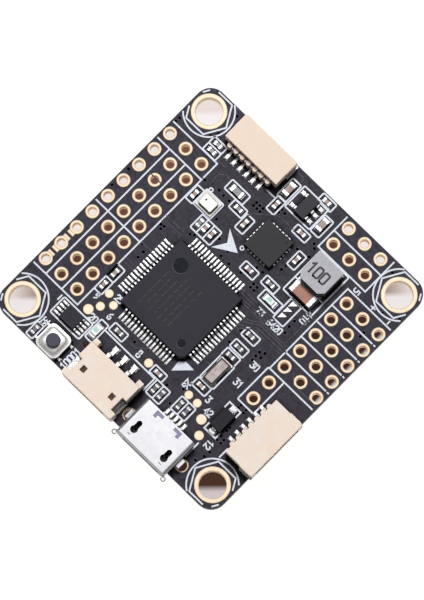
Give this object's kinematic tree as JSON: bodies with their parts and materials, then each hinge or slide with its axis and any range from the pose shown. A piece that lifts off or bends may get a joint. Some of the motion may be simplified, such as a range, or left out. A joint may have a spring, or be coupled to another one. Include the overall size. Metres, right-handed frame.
{
  "type": "flight controller board",
  "caption": "Small square flight controller board with corner mounting holes, plated header holes, micro USB port, side-entry plug sockets, motion and pressure sensors and a push button.",
  "frame": {"origin": "centre of the four mounting holes, on the plane that the underside lands rest on", "axes": "+Z out of the component side, +Y forward (the way the printed arrow points), +X to the right, towards the USB port"},
  "size_m": [0.0366, 0.0357, 0.005],
  "materials": {
    "laminate": "fibreglass laminate, matt edge",
    "solder_mask": "near-black solder mask, semi-gloss",
    "gold_plating": "pale immersion gold",
    "tinned_metal": "tin-plated",
    "contact_metal": "plated contact alloy",
    "package_black": "moulded package, matt",
    "sensor_black": "moulded package, fine matt",
    "sensor_lid": "bright metal lid",
    "sensor_base": "laminate carrier",
    "silicon": "polished die",
    "crystal_ceramic": "dark ceramic",
    "crystal_metal": "seam-welded lid",
    "ferrite": "ground ferrite",
    "magnetic_resin": "loaded resin",
    "copper_wire": "enamelled copper",
    "capacitor_brown": "fired ceramic",
    "capacitor_beige": "fired ceramic",
    "alumina": "white alumina",
    "resistor_glass": "glass coat",
    "led_carrier": "white carrier",
    "led_epoxy": "milky epoxy",
    "socket_nylon": "warm ivory nylon",
    "usb_steel": "nickel-plated steel",
    "usb_plastic": "black nylon",
    "button_cover_steel": "stamped steel",
    "button_plastic": "black nylon",
    "button_plunger_plastic": "blue-grey plastic",
    "spring_steel": "spring steel"
  },
  "bodies": {
    "board": {"board_laminate": "laminate", "solder_mask_top": "solder_mask", "solder_mask_bottom": "solder_mask", "mounting_hole_plating": "gold_plating", "header_hole_plating": "gold_plating", "stake_hole_plating": "gold_plating", "test_pads": "gold_plating", "bridge_tabs": "gold_plating", "jumper_pads": "tinned_metal", "component_lands": "tinned_metal", "processor_body": "package_black", "processor_leads": "tinned_metal", "motion_sensor_body": "sensor_black", "motion_sensor_pads": "tinned_metal", "pressure_sensor_base": "sensor_base", "pressure_sensor_die": "silicon", "pressure_sensor_lid": "sensor_lid", "memory_body": "package_black", "memory_leads": "tinned_metal", "regulator_body": "package_black", "regulator_leads": "tinned_metal", "diode_body": "package_black", "diode_terminals": "tinned_metal", "crystal_base": "crystal_ceramic", "crystal_lid": "crystal_metal", "inductor_core": "ferrite", "inductor_winding": "copper_wire", "inductor_resin": "magnetic_resin", "inductor_terminals": "tinned_metal", "power_capacitor_body": "capacitor_brown", "power_capacitor_terminals": "tinned_metal", "capacitor_bodies": "capacitor_beige", "capacitor_terminals": "tinned_metal", "resistor_bodies": "alumina", "resistor_coats": "resistor_glass", "resistor_terminals": "tinned_metal", "led_bases": "led_carrier", "led_lenses": "led_epoxy", "led_terminals": "tinned_metal", "usb_shell": "usb_steel", "usb_insulator": "usb_plastic", "usb_contacts": "contact_metal", "side_socket_housing": "socket_nylon", "side_socket_contacts": "contact_metal", "side_socket_tabs": "tinned_metal", "front_socket_housing": "socket_nylon", "front_socket_contacts": "contact_metal", "front_socket_tabs": "tinned_metal", "power_socket_housing": "socket_nylon", "power_socket_contacts": "contact_metal", "power_socket_tabs": "tinned_metal", "button_base": "button_plastic", "button_terminals": "tinned_metal", "button_dome": "spring_steel", "button_cover": "button_cover_steel"},
    "button": {"button_plunger": "button_plunger_plastic"}
  },
  "joints": [
    {"name": "button_press", "type": "slide", "parent": "board", "child": "button", "axis": [0, 0, -1], "range_m": [0, 0.00025], "deforming": ["button_dome"]}
  ]
}
